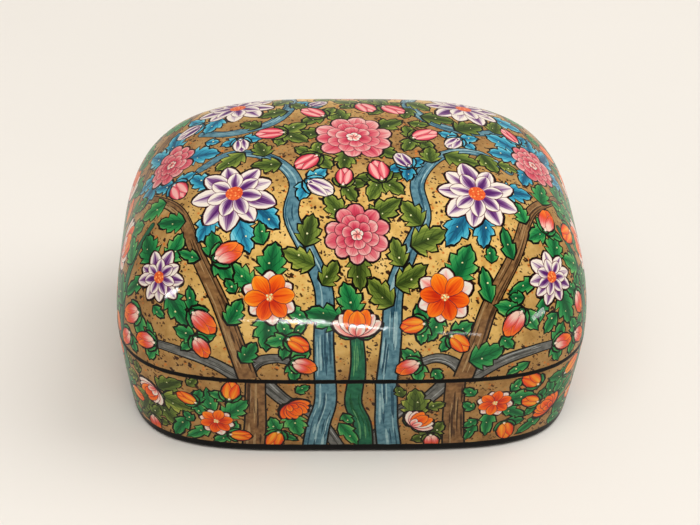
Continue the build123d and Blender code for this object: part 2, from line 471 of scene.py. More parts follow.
class Painting:
    """The brush marks of one coat, kept in layers from the stems up to the black of its edge."""

    def __init__(self, skin, inside, seed, slim_share):
        self.skin = skin
        self.inside = inside
        self.layers = [[] for _ in range(EDGE_LAYER + 1)]
        self.taken = np.empty((0, 4))
        self.blooms = []
        self.random = random.Random(seed)
        self.slim_share = slim_share

    def place(self, at, angle=0.0, mirror=1):
        """A spot for a motif: where it is, and the matrix from its own mm to the layout's."""
        x, y = at
        left, right, low, high = self.skin([(x - PLACE_STEP, y), (x + PLACE_STEP, y),
                                            (x, y - PLACE_STEP), (x, y + PLACE_STEP)])
        across, up = (right - left) / (2 * PLACE_STEP), (high - low) / (2 * PLACE_STEP)
        first = across / np.linalg.norm(across)
        second = np.cross(np.cross(across, up), first)
        second /= np.linalg.norm(second)
        flat = np.array([[first @ across, first @ up], [second @ across, second @ up]])
        return np.array([x, y], float), np.linalg.inv(flat) @ turned(angle) @ np.diag([1, mirror])

    def within(self, spot, x, y, angle):
        """A spot given in another spot's own mm and angle."""
        origin, matrix = spot
        return origin + matrix @ (x, y), matrix @ turned(angle)

    def claim(self, discs):
        """Takes up discs of the surface, each given as x, y in the layout and a radius."""
        discs = np.array(discs, float)
        taken = np.column_stack([self.skin(discs[:, :2]), discs[:, 2]])
        self.taken = np.concatenate([self.taken, taken])

    def free(self, discs, slack=0.0):
        """True if discs are on the coat and clear of all that is claimed."""
        discs = np.array(discs, float)
        if not all(self.inside(disc[:2], disc[2] * KEPT_ON_COAT) for disc in discs):
            return False
        if not len(self.taken):
            return True
        gaps = self.skin(discs[:, :2])[:, None] - self.taken[None, :, :3]
        gaps = np.linalg.norm(gaps, axis=2) - self.taken[None, :, 3] - discs[:, 2:3]
        return gaps.min() > -slack

    def nearest_bloom(self, at):
        """The colours of the nearest main flower, and the direction away from it."""
        spot = self.skin([at])[0]
        nearest = min(self.blooms, key=lambda bloom: (
            np.linalg.norm(bloom.centre - spot) - 0.6 * bloom.radius))
        away = np.array(at) - nearest.at
        return nearest.leafy, nearest.budding, math.atan2(away[1], away[0])

    def lay(self, layer, spot, line, paint, length=1.0, half=1.0, bend=0.0, grow=0.0, rough=0.0):
        """Lays one filled outline, given in the spot's own mm. bend curves it sideways."""
        origin, matrix = spot
        line = np.array(line, float)
        line[:, 1] += bend * line[:, 0] ** 2 / max(length, 1e-6)
        if grow:
            line = self.grown(line, grow, rough)
        seed = self.random.random()
        self.layers[layer].append(
            Mark(origin + line @ matrix.T, PAINT[paint], origin, matrix, length, half, bend, seed))

    def lay_lined(self, layer, spot, line, paint, size, edge, grow, rough=0.6):
        """Lays one filled outline over the line that is drawn round it."""
        self.lay(layer, spot, line, edge, *size, grow=grow, rough=rough)
        self.lay(layer, spot, line, paint, *size)

    def lay_flat(self, layer, outline, paint):
        """Lays one filled outline, given in the layout itself."""
        self.layers[layer].append(
            Mark(outline, PAINT[paint], np.zeros(2), np.eye(2), NO_SIZE, NO_SIZE, 0.0, 0.5))

    def heading(self, at, ahead):
        """The angle that a direction of the layout has in the own mm of a spot there."""
        x, y = np.linalg.inv(self.place(at)[1]) @ ahead
        return math.atan2(y, x)

    def grown(self, line, amount, rough):
        """The outline moved outwards, unevenly, as a brush line round it."""
        before = line - np.roll(line, 1, axis=0)
        after = np.roll(line, -1, axis=0) - line
        sides = before / np.linalg.norm(before, axis=1)[:, None]
        sides = sides + after / np.linalg.norm(after, axis=1)[:, None]
        sides /= np.maximum(np.linalg.norm(sides, axis=1), SHARPEST_TURN)[:, None]
        outwards = np.stack([sides[:, 1], -sides[:, 0]], axis=1)
        area = np.sum(line[:, 0] * np.roll(line[:, 1], -1) - line[:, 1] * np.roll(line[:, 0], -1))
        uneven = np.array([1 + rough * (self.random.random() - 0.5) for _ in line])
        return line + outwards * math.copysign(amount, area) * uneven[:, None]


def turned(angle):
    return np.array([[math.cos(angle), -math.sin(angle)], [math.sin(angle), math.cos(angle)]])


def petal_line(length, half, widest, roundness, count=6):
    """A petal from its root along +X, with round or pointed ends."""
    ways = [(1 - math.cos(math.pi * k / (count + 1))) / 2 for k in range(1, count + 1)]
    side = [(u * length, half * math.sin(math.pi * u ** widest) ** roundness) for u in ways]
    return [(0, 0)] + [(x, -y) for x, y in side] + [(length, 0)] + side[::-1]


def leaf_line(length, half, teeth):
    """A saw-edged leaf along +X: each tooth swells, comes to a point and steps back."""
    widest, roundness = LEAF
    side = []
    for tooth in range(teeth):
        for part, swell in ((0.45, 0.98), (0.94, 1.22), (1.02, 0.68)):
            u = min((tooth + part) / (teeth + 0.35), 0.97)
            side.append((u * length, swell * half * math.sin(math.pi * u ** widest) ** roundness))
    return [(0, 0)] + [(x, -y) for x, y in side] + [(length, 0)] + side[::-1]


def disc_line(radius, corners):
    ways = [2 * math.pi * k / corners for k in range(corners)]
    return [(radius * math.cos(way), radius * math.sin(way)) for way in ways]


WAY_STEP = 2.0              # mm between two points of a stem


def smooth_way(controls):
    """A smooth curve through control points of the layout."""
    controls = [np.array(point, float) for point in controls]
    ends = [2 * controls[0] - controls[1]] + controls + [2 * controls[-1] - controls[-2]]
    points = []
    for before, first, last, after in zip(ends, ends[1:], ends[2:], ends[3:]):
        count = max(2, int(np.linalg.norm(last - first) / WAY_STEP))
        for k in range(count):
            t = k / count
            points.append(0.5 * (2 * first + (last - before) * t
                                 + (2 * before - 5 * first + 4 * last - after) * t ** 2
                                 + (3 * first - before - 3 * last + after) * t ** 3))
    return points + [controls[-1]]


# The motifs. Each is drawn from its root along +X, leaves and petals first in their dark lines.

OUTLINE = 0.64              # width of the black line round a motif
FINE_LINE = 0.20            # between two petals
SEPAL = (0.8, 0.8)
GOLDEN_ANGLE = 2.39996      # spreads dots evenly over a disc


def leaf_discs(art, spot, length, bend=0.0):
    """The discs that a leaf takes up, from its root to its tip."""
    discs = []
    for share, radius in ((0.32, 0.21), (0.60, 0.22), (0.88, 0.09)):
        x = share * length
        at = art.within(spot, x, bend * x ** 2 / length, 0)[0]
        discs.append((*at, radius * length))
    return discs


VEINS = {"green_leaf": "green_dark", "olive_leaf": "olive_dark", "blue_leaf": "blue_dark"}
SLIM_HALF = (0.18, 0.22)    # half a leaf's width, as a share of its length
FULL_HALF = (0.30, 0.36)


def leaf(art, spot, length, paint, bend, teeth=3, dots=1):
    """A leaf outlined in black, with a dark midrib and a dot of light. Some green ones are slim."""
    slim = paint == "green_leaf" and length > 7 and art.random.random() < art.slim_share
    half = length * art.random.uniform(*(SLIM_HALF if slim else FULL_HALF))
    line = leaf_line(length, half, 2 if slim else teeth)
    size = length, half, bend
    art.lay_lined(LEAF_LAYER, spot, line, paint, size, "black_line", OUTLINE, 0.8)
    root, tip = 0.04 * length, 0.80 * length
    midrib = [(root, -0.17), (tip, -0.04), (tip, 0.04), (root, 0.17)]
    art.lay(LEAF_LAYER, spot, midrib, VEINS[paint], *size)
    for _ in range(dots):
        along = length * art.random.uniform(0.30, 0.6)
        aside = half * art.random.uniform(-0.35, 0.35)
        dot = art.within(spot, along, aside + bend * along ** 2 / length, 0)
        art.lay(LEAF_LAYER, dot, disc_line(art.random.uniform(0.17, 0.31), 6), "dot_yellow")


def petal(art, layer, spot, length, half, shape, paint, bend=0.0):
    """A petal over a fine dark red line."""
    line = petal_line(length, half, *shape)
    art.lay_lined(layer, spot, line, paint, (length, half, bend), "wine_line", FINE_LINE)


def sepal(art, spot, root, angle, length, half, paint, count):
    """One of the narrow leaves that hold a flower or bud from behind."""
    place = art.within(spot, -root, 0, angle)
    line = petal_line(length, half, *SEPAL, count)
    art.lay_lined(SEPAL_LAYER, place, line, paint, (length, half), "black_line", OUTLINE)


def ring_of_petals(art, spot, radius, count, shares, shape, paint):
    """Petals round a flower, each a little different, over a black line round them all. The
    shares of its radius are how far out they root, how long they are and half their width."""
    root, length, half = (radius * share for share in shares)
    laid = []
    for k in range(count):
        angle = 2 * math.pi * k / count + art.random.uniform(-0.10, 0.10)
        size = art.random.uniform(0.86, 1.10)
        out = root * math.cos(angle), root * math.sin(angle)
        laid.append((art.within(spot, *out, angle), length * size, half * size))
    for petal_spot, long, wide in laid:
        line = petal_line(long, wide, *shape)
        art.lay(SEPAL_LAYER, petal_spot, line, "black_line", long, wide, grow=OUTLINE, rough=0.5)
    for petal_spot, long, wide in laid:
        bend = art.random.uniform(-0.06, 0.06)
        petal(art, PETAL_LAYER, petal_spot, long, wide, shape, paint, bend)


def inner_ring(art, spot, radius, count, shares, shape, paint, start, layer=PETAL_LAYER):
    """Petals laid over a ring of larger ones."""
    root, length, half = (radius * share for share in shares)
    for k in range(count):
        angle = start + 2 * math.pi * k / count + art.random.uniform(-0.05, 0.05)
        inner = art.within(spot, root * math.cos(angle), root * math.sin(angle), angle)
        petal(art, layer, inner, length, half, shape, paint)


def stamens(art, spot, radius, count, colours=("stamen_orange", "stamen_red")):
    """Dots in two colours spread over a red disc."""
    art.lay(HEART_LAYER, spot, disc_line(radius, 12), "stamen_red", grow=0.2, rough=0.8)
    for k in range(count):
        way = k * GOLDEN_ANGLE
        out = radius * math.sqrt((k + 0.5) / count) * 0.98
        dot = art.within(spot, out * math.cos(way), out * math.sin(way), 0)
        art.lay(HEART_LAYER, dot, disc_line(0.34, 6), colours[k % 2])


def dahlia(art, spot, radius):
    """A many-petalled purple flower with cream edges and a red heart."""
    ring_of_petals(art, spot, radius, 9, (0.16, 0.84, 0.24), PURPLE, "purple_petal")
    inner_ring(art, spot, radius, 7, (0.12, 0.56, 0.19), PURPLE, "purple_petal", 0.3)
    stamens(art, spot, radius * 0.20, 16)


def rosette(art, spot, radius):
    """A full pink flower of three rings of round petals closed over a pale heart."""
    ring_of_petals(art, spot, radius, 10, (0.30, 0.70, 0.25), PINK, "pink_petal")
    inner_ring(art, spot, radius, 8, (0.20, 0.52, 0.22), PINK, "pink_petal", 0.2)
    inner_ring(art, spot, radius, 6, (0.10, 0.38, 0.19), PINK, "pink_petal", 0.5)
    inner_ring(art, spot, radius, 5, (0, 0.20, 0.09), PINK, "blush_petal", 0, HEART_LAYER)


def lily(art, spot, radius):
    """An open orange flower, blush outer petals behind six orange ones."""
    ring_of_petals(art, spot, radius, 6, (0.1, 0.90, 0.28), ORANGE, "blush_petal")
    inner_ring(art, spot, radius, 6, (0.06, 0.86, 0.30), ORANGE, "orange_petal", math.pi / 6)
    stamens(art, spot, radius * 0.13, 9, ("dot_yellow", "stamen_orange"))


def fan_flower(art, spot, radius, outer="blush_petal"):
    """A flower seen from the side: a fan of petals that opens along +X out of green sepals."""
    for angle in (-2.5, 2.5, -1.9, 1.9):
        sepal(art, spot, radius * 0.30, angle * 0.62, radius * 0.75, radius * 0.15, "green_leaf", 4)
    fans = ((outer, 1.25, (1.05, -1.05, 0.72, -0.72), 0.28),
            ("orange_petal", 1.30, (0.42, -0.42), 0.33),
            ("orange_petal", 1.18, (0.0,), 0.36),
            (outer, 0.62, (0.55, -0.55), 0.20))
    petals = [(art.within(spot, -radius * 0.30, 0, angle), radius * share, radius * wide, paint,
               -0.10 * math.copysign(1, angle) if angle else 0.0)
              for paint, share, angles, wide in fans for angle in angles]
    for place, long, half, paint, bend in petals:
        line = petal_line(long, half, *ORANGE)
        art.lay(SEPAL_LAYER, place, line, "black_line", long, half, grow=OUTLINE, rough=0.5)
    for place, long, half, paint, bend in petals:
        petal(art, PETAL_LAYER, place, long, half, ORANGE, paint, bend)


def bud(art, spot, length, paint, leafy):
    """A closed bud along +X on small sepals, its folds drawn with two lighter strokes."""
    for angle, share in ((0.80, 0.62), (-0.80, 0.62), (0.0, 0.45)):
        sepal(art, spot, 0.12 * length, angle, length * share, length * 0.14, leafy, 3)
    half = length * 0.36
    line = petal_line(length, half, *BUD)
    art.lay(SEPAL_LAYER, spot, line, "black_line", length, half, grow=OUTLINE * 0.8, rough=0.6)
    art.lay(PETAL_LAYER, spot, line, paint, length, half)
    size = (length * 0.86, half * 0.5)
    line = petal_line(*size, *BUD, 5)
    for side in (1, -1):
        fold = art.within(spot, length * 0.04, side * half * 0.30, side * 0.10)
        art.lay_lined(PETAL_LAYER, fold, line, paint, size, "wine_line", 0.10, 0.0)
    art.lay(HEART_LAYER, spot, disc_line(0.42, 6), "cream")


STROKES = {"blue_stem": ("stem_light", "stem_dark"), "grey_stem": ("grey_light", "grey_dark"),
           "brown_stem": ("brown_light", "brown_dark"), "green_stem": ("green_light", "green_dark")}


def stem(art, points, width, paint, end_share):
    """A tapering stem along points of the layout, stroked lengthwise with a thin brush."""
    points = [np.array(point, float) for point in points]
    on_coat = [at for at in points if art.inside(at, 1.0)]
    lefts, backs = [], []
    for k, at in enumerate(points):
        ahead = points[min(k + 1, len(points) - 1)] - points[max(k - 1, 0)]
        nearest = min(on_coat, key=lambda spot: np.linalg.norm(spot - at))
        matrix = art.place(nearest)[1]
        way = np.linalg.inv(matrix) @ ahead
        way /= np.linalg.norm(way)
        lefts.append(matrix @ (-way[1], way[0]))
        backs.append(1 - (1 - end_share) * k / len(points))

    def strip(first, last, shift, thick, colour):
        near, far = [], []
        for k in range(first, last + 1):
            ends = 0.25 if thick < width * 0.5 and k in (first, last) else 1.0
            side = lefts[k] * backs[k]
            near.append(points[k] + side * (shift + thick * ends / 2))
            far.append(points[k] + side * (shift - thick * ends / 2))
        art.lay_flat(STEM_LAYER, np.array(near + far[::-1]), colour)

    count = len(points) - 1
    for thick, colour in ((width + 2 * OUTLINE, "black_line"), (width, paint)):
        strip(0, count, 0, thick, colour)
        round_end = np.array(disc_line(thick * backs[-1] / 2, 12))
        art.lay_flat(STEM_LAYER, points[-1] + round_end @ matrix.T, colour)
    light, dark = STROKES[paint]
    for _ in range(int(count * (0.35 + width / 9))):
        first = art.random.randrange(0, max(1, count - 3))
        last = min(count, first + art.random.randrange(2, 7))
        shift = art.random.uniform(-0.42, 0.40)
        shaded = art.random.random() < 0.5 - shift
        strip(first, last, width * shift, width * art.random.uniform(0.06, 0.13),
              dark if shaded else light)
    art.claim([(*at, width * 0.5 * back) for at, back in zip(points, backs)])


def bud_on_stem(art, points, size, budding, leafy):
    """A bud between two leaves, which closes the thin end of a stem."""
    end = points[-1]
    spot = art.place(end, art.heading(end, end - points[-3]))
    for turn in (1.0, -1.0):
        part = art.within(spot, -0.05 * size, 0, turn)
        leaf(art, part, size * 0.95, leafy, 0.15 * turn, 2)
        art.claim(leaf_discs(art, part, size * 0.95))
    bud(art, spot, size, budding, leafy)
    art.claim([(*art.within(spot, size * 0.5, 0, 0)[0], size * 0.42)])


def leaves_along(art, points, leafy, length, spacing):
    """Leaves on both sides of a stem, wherever there is room."""
    travelled, side = 0.0, 1
    skinned = art.skin(points)
    for k in range(1, len(points) - 1):
        travelled += np.linalg.norm(skinned[k] - skinned[k - 1])
        if travelled < spacing:
            continue
        travelled = 0.0
        side = -side
        ahead = np.array(points[k + 1]) - points[k - 1]
        for shrink in (1.0, 0.82, 0.66):
            size = length * shrink * art.random.uniform(0.92, 1.08)
            angle = art.heading(points[k], ahead)
            spot = art.place(points[k], angle + side * art.random.uniform(0.7, 1.05))
            bend = -side * art.random.uniform(0.0, 0.2)
            discs = leaf_discs(art, spot, size, bend)
            if art.free(discs[1:], 0.5):
                leaf(art, spot, size, leafy, bend)
                art.claim(discs)
                break


def wreath(art, spot, radius, count, length, leafy, start):
    """Leaves that stand out from behind a flower."""
    for k in range(count):
        angle = start + 2 * math.pi * k / count + art.random.uniform(-0.15, 0.15)
        size = length * art.random.uniform(0.85, 1.12)
        root = art.within(spot, radius * math.cos(angle), radius * math.sin(angle), angle)
        bend = art.random.uniform(-0.2, 0.2)
        discs = leaf_discs(art, root, size, bend)
        if art.free(discs[2:], 0.6):
            leaf(art, root, size, leafy, bend)
            art.claim(discs)


EDGE_LAP = 0.28


def edge_line(art, line):
    """The black of the edge lapped a little over the painting, in a hand-drawn line."""
    for first, last in zip(line, np.roll(line, -1, axis=0)):
        if np.linalg.norm(last - first) > 5:
            continue
        spots = [(at, art.place(at)[1]) for at in (first, last)]
        way = last - first
        inwards = np.array([-way[1], way[0]]) / np.linalg.norm(way)
        sides = []
        for at, matrix in spots:
            lap = EDGE_LAP * (1 + 0.35 * math.sin(at[0] * 0.9) * math.cos(at[1] * 0.7 + at[0] * 0.23))
            reach = np.linalg.norm(np.linalg.inv(matrix) @ inwards)
            sides.append(inwards * lap / reach)
        outline = np.array([first - sides[0], last - sides[1], last + sides[1], first + sides[0]])
        art.lay_flat(EDGE_LAYER, outline, "black_line")


def bloom(art, flower, at, radius, leafy, budding, angle, mirror=1):
    """A main flower with the room it takes and the colours that go round it."""
    flower(art, art.place(at, angle, mirror), radius)
    art.claim([(*at, radius * 0.96)])
    art.blooms.append(Bloom(art.skin([at])[0], radius, np.array(at, float), leafy, budding))


def bud_in_gap(art, spot, size, slack, leafy, budding):
    """A bud on up to four leaves, if there is room for it and the two in front."""
    centre = art.within(spot, size * 0.5, 0, 0)[0]
    discs = [(*centre, size * 0.42)]
    parts = [(art.within(spot, -0.05 * size, 0, turn), turn) for turn in (1.15, -1.15, 2.3, -2.3)]
    for part, turn in parts[:2]:
        discs += leaf_discs(art, part, size * 0.95)[1:2]
    if not art.free(discs, slack):
        return
    for part, turn in parts:
        long = size * art.random.uniform(0.85, 1.05)
        reach = leaf_discs(art, part, long)
        if art.free(reach[1:], 1.0):
            leaf(art, part, long, leafy, 0.15 * math.copysign(1, turn), 2)
            discs += reach
    bud(art, spot, size, budding, leafy)
    art.claim(discs)


def leaf_in_gap(art, spot, size, slack, leafy, budding):
    """One leaf, if there is room for it. The small ones are plainer."""
    bend = art.random.uniform(-0.22, 0.22)
    long = size * art.random.uniform(0.9, 1.1)
    discs = leaf_discs(art, spot, long, bend)
    if art.free(discs, slack):
        leaf(art, spot, long, leafy, bend, teeth=3 if size > 7 else 2, dots=1 if size > 4.5 else 0)
        art.claim(discs)


def fill_gaps(art, sample, rounds):
    """Fills what ground is left over. Each round has its motif, its size, how many spots are tried
    and how far motifs may overlap."""
    for motif, size, tries, slack in rounds:
        for _ in range(tries):
            at = sample(art.random)
            if not art.free([(*at, size * 0.22)]):
                continue
            leafy, budding, away = art.nearest_bloom(at)
            spot = art.place(at, away + art.random.uniform(-1.0, 1.0))
            motif(art, spot, size, slack, leafy, budding)


# How a painting becomes a coat: a mesh that its marks are cut into.

MOST_AT_ONCE = 4000         # keeps the tables of gone_round small


def gone_round(outline, places):
    """Which of the places an outline goes round, also where it crosses itself."""
    if len(places) > MOST_AT_ONCE:
        parts = np.array_split(places, len(places) // MOST_AT_ONCE + 1)
        return np.concatenate([gone_round(outline, part) for part in parts])
    first, last = outline, np.roll(outline, -1, axis=0)
    x, y = places[:, :1], places[:, 1:]
    way = last - first
    side = way[:, 0] * (y - first[:, 1]) - (x - first[:, 0]) * way[:, 1]
    upwards = (first[:, 1] <= y) & (last[:, 1] > y) & (side > 0)
    downwards = (first[:, 1] > y) & (last[:, 1] <= y) & (side < 0)
    return upwards.sum(axis=1) != downwards.sum(axis=1)


ROW_SHARE = 0.866           # how much closer the rows of an even grid lie than its points
SEAM_GAP = 0.2              # mm that marks keep clear of the line where a band's ends meet
ON_SEAM = 1e-5              # mm within which a point lies on that line
FLAT_STEP = 0.02            # mm over which the surface's direction is measured


def grid_points(art, edge, spacing):
    """Points spread evenly over the layout, so that the coat can bend between its marks."""
    lowest, highest = edge.min(axis=0), edge.max(axis=0)
    points = []
    for row in range(1, int((highest[1] - lowest[1]) / (spacing * ROW_SHARE))):
        y = lowest[1] + row * spacing * ROW_SHARE
        shift = spacing / 2 * (row % 2)
        for column in range(1, int((highest[0] - lowest[0]) / spacing)):
            at = (lowest[0] + column * spacing + shift, y)
            if art.inside(at, 1.0):
                points.append(Vector(at))
    return points


def shown_marks(marks, middles):
    """The number of the last mark that goes round each middle. The middles are in order of x."""
    shown = np.zeros(len(middles), int)
    for index, mark in enumerate(marks[1:], 1):
        low, high = mark.outline.min(axis=0), mark.outline.max(axis=0)
        near = np.arange(*np.searchsorted(middles[:, 0], (low[0], high[0])))
        near = near[(middles[near, 1] > low[1]) & (middles[near, 1] < high[1])]
        shown[near[gone_round(mark.outline, middles[near])]] = index
    return shown


def edge_loop(faces):
    """The points round the outside of all the faces, in order."""
    following = {}
    pairs = {(face[k - 1], face[k]) for face in faces for k in range(len(face))}
    for first, last in pairs:
        if (last, first) not in pairs:
            following[first] = last
    loop = [next(iter(following))]
    while following[loop[-1]] != loop[0]:
        loop.append(following[loop[-1]])
    return loop


def wrapped(skin, where):
    """Points of the layout on the coat's surface, and the surface's normals there."""
    base = skin(where)
    right = skin(where + (FLAT_STEP, 0)) - base
    up = skin(where + (0, FLAT_STEP)) - base
    normal = np.cross(right, up)
    return base, normal / np.linalg.norm(normal, axis=1)[:, None]


def brush_places(marks, owner, places):
    """Where each place lies along and across the brush mark that owns it."""
    inverses = np.array([np.linalg.inv(mark.matrix) for mark in marks])
    origins = np.array([mark.origin for mark in marks])
    lengths = np.array([mark.length for mark in marks])[owner]
    halves = np.array([mark.half for mark in marks])[owner]
    bends = np.array([mark.bend for mark in marks])[owner]
    local = np.einsum("nij,nj->ni", inverses[owner], places - origins[owner])
    across = local[:, 1] - bends * local[:, 0] ** 2 / lengths
    return np.stack([local[:, 0] / lengths, across / halves], axis=1)


def make_coat(name, art, edge, spacing, bake_place, cuts_at=(), around=None):
    """Triangulates the painting's outlines over the flat layout, wraps that on the coat's skin and
    closes it with a plain inner face, one coat thick. A band that goes right round has its length
    in around, and its two ends are joined."""
    marks = [mark for layer in art.layers for mark in layer]
    if around:
        low, high = (SEAM_GAP, -NO_SIZE), (around - SEAM_GAP, NO_SIZE)
        marks = [mark._replace(outline=np.clip(mark.outline, low, high)) for mark in marks
                 if mark.outline[:, 0].max() > 2 * SEAM_GAP
                 and mark.outline[:, 0].min() < around - 2 * SEAM_GAP]
    marks.insert(0, Mark(edge, PAINT["gold_ground"], np.zeros(2), np.eye(2), 1.0, 1.0, 0.0, 0.5))
    points, lines = [], []
    for mark in marks:
        first, count = len(points), len(mark.outline)
        points.extend(Vector(point) for point in mark.outline)
        lines.extend((first + k, first + (k + 1) % count) for k in range(count))
    for first, last in cuts_at:
        lines.append((len(points), len(points) + 1))
        points.extend([Vector(first), Vector(last)])
    inner_points = grid_points(art, edge, spacing)
    flat, _, faces, _, _, _ = delaunay_2d_cdt(points + inner_points, lines, [], 0, 1e-4, False)
    flat, faces = np.array(flat), np.array(faces)
    faces = faces[gone_round(edge, flat[faces].mean(axis=1))]
    middles = flat[faces].mean(axis=1)
    order = np.argsort(middles[:, 0])
    shown = shown_marks(marks, middles[order])
    faces = [tuple(face) for face in faces[order].tolist()]

    # The plain inner face, and the rim that closes the two together.
    loop = edge_loop(faces)
    loop_lines = [(k, (k + 1) % len(loop)) for k in range(len(loop))]
    back, _, back_faces, back_origins, _, _ = delaunay_2d_cdt(
        [Vector(flat[index]) for index in loop] + inner_points[::3], loop_lines, [], 0, 1e-6, True)
    back, back_faces = np.array(back), np.array(back_faces)
    back_faces = back_faces[gone_round(flat[loop], back[back_faces].mean(axis=1))].tolist()
    place_of = {origin: index for index, origins in enumerate(back_origins) for origin in origins}
    outer, outer_normals = wrapped(art.skin, flat)
    behind, behind_normals = wrapped(art.skin, back)
    behind = behind - behind_normals * COAT_THICKNESS
    count = len(flat)
    back_faces = [tuple(count + index for index in reversed(face)) for face in back_faces]
    rim_faces = []
    for k, first in enumerate(loop):
        last = loop[(k + 1) % len(loop)]
        x_first, x_last = flat[first][0], flat[last][0]
        ends_meet = around and abs(x_first - x_last) < ON_SEAM
        if ends_meet and (x_first < ON_SEAM or x_first > around - ON_SEAM):
            continue
        rim_faces.append((last, first, count + place_of[k], count + place_of[(k + 1) % len(loop)]))

    # The points where a band's two ends meet become one, and points that no face uses are left out.
    where = np.concatenate([flat, back])
    all_faces = faces + back_faces + rim_faces
    sizes = np.array([len(face) for face in all_faces])
    corners = np.concatenate(all_faces)
    joined = np.arange(len(where))
    if around:
        for start, end in ((0, count), (count, len(where))):
            left = [k for k in range(start, end) if where[k][0] < ON_SEAM]
            right = [k for k in range(start, end) if where[k][0] > around - ON_SEAM]
            left.sort(key=lambda k: where[k][1])
            right.sort(key=lambda k: where[k][1])
            assert np.allclose(where[left][:, 1], where[right][:, 1], atol=1e-3)
            joined[right] = left
    used = np.unique(joined[corners])
    renumbered = np.searchsorted(used, joined)

    mesh = bpy.data.meshes.new(name)
    mesh.from_pydata(np.concatenate([outer, behind])[used] * MM, [],
                     [tuple(renumbered[list(face)]) for face in all_faces])
    for material in paints:
        mesh.materials.append(material)
    hidden_paint = [PAINT["cream"]] * len(back_faces) + [PAINT["black_line"]] * len(rim_faces)
    shown_paint = np.array([mark.paint for mark in marks])[shown]
    mesh.polygons.foreach_set(
        "material_index", np.concatenate([shown_paint, hidden_paint]).astype(np.int32))
    shown_seeds = np.array([mark.seed for mark in marks])[shown]
    seeds = np.concatenate([shown_seeds, np.full(len(hidden_paint), 0.5)])
    mesh.attributes.new("seed", "FLOAT", "FACE").data.foreach_set("value", seeds.astype(np.float32))

    painted = int(sizes[:len(faces)].sum())
    brush = np.zeros((len(corners), 2), np.float32)
    owner = np.repeat(shown, sizes[:len(faces)])
    brush[:painted] = brush_places(marks, owner, flat[corners[:painted]])
    mesh.uv_layers.new(name="brush").data.foreach_set("uv", brush.ravel())
    sums = np.add.reduceat(where[corners], np.concatenate([[0], np.cumsum(sizes)[:-1]]), axis=0)
    centres = np.repeat(sums / sizes[:, None], sizes, axis=0)
    baked = bake_place(where[corners], np.arange(len(corners)) >= painted, centres)
    mesh.uv_layers.new(name="OFBake").data.foreach_set("uv", baked.astype(np.float32).ravel())

    normals = np.zeros((len(corners), 3), np.float32)
    normals[:painted] = outer_normals[corners[:painted]]
    mesh.polygons.foreach_set("use_smooth", np.ones(len(mesh.polygons), bool))
    mesh.normals_split_custom_set(normals.tolist())
    mesh.validate()
    coat = bpy.data.objects.new(name, mesh)
    bpy.context.scene.collection.objects.link(coat)
    return coat


# The lid's own design, in four like quarters that are each drawn a little differently.

lid_edge_line = lid_edge()
edge_angles = ANGLES[:-1]
edge_reach = np.hypot(lid_edge_line[:, 0], lid_edge_line[:, 1])


def on_lid(at, margin):
    angle = math.atan2(at[1], at[0]) % (2 * math.pi)
    reach = np.interp(angle, edge_angles, edge_reach, period=2 * math.pi)
    return math.hypot(*at) < reach - margin


def anywhere_on_lid(chance):
    while True:
        at = chance.uniform(-108, 108), chance.uniform(-90, 90)
        if on_lid(at, 1.5):
            return at


def mirrored(x, y):
    """The spots that a design of four like quarters gives to one, each with its handedness."""
    return sorted({(sx * x, sy * y, sx * sy if x and y else 1) for sx in (1, -1) for sy in (1, -1)})


lid_painting = Painting(lid_skin, on_lid, seed=11, slim_share=0.2)

# Each stem's width, colour and share left at its thin end, and its way up one quarter of the lid.
STEMS = (
    (5.8, "blue_stem", 0.45, ((15, 92), (14, 74), (12, 58), (16, 46), (20, 35), (19, 22), (26, 10),
                              (38, 6), (48, 11))),
    (5.4, "brown_stem", 0.40, ((49, 90), (47, 72), (46, 58), (51, 42), (54, 28), (64, 16), (72, 6))),
    (3.8, "green_stem", 0.45, ((101, 52), (88, 42), (76, 33), (66, 27))),
    (3.6, "grey_stem", 0.6, ((48, 80), (40, 77), (33, 77), (27, 79))),
    (3.8, "grey_stem", 0.6, ((48, 84), (58, 74), (68, 66), (77, 61))))
MIDDLE_STEM = (4.4, "green_stem", 0.7, ((0, 93), (0.6, 82), (0, 71)))


def way_up(controls, sx, sy, chance):
    """One quarter's stem, drawn a little off the pattern, but starting on it."""
    drawn = [controls[0]]
    for x, y in controls[1:]:
        drawn.append((x + chance.uniform(-0.8, 0.8), y + chance.uniform(-0.8, 0.8)))
    return [point for point in smooth_way([(sx * x, sy * y) for x, y in drawn]) if on_lid(point, -1.5)]


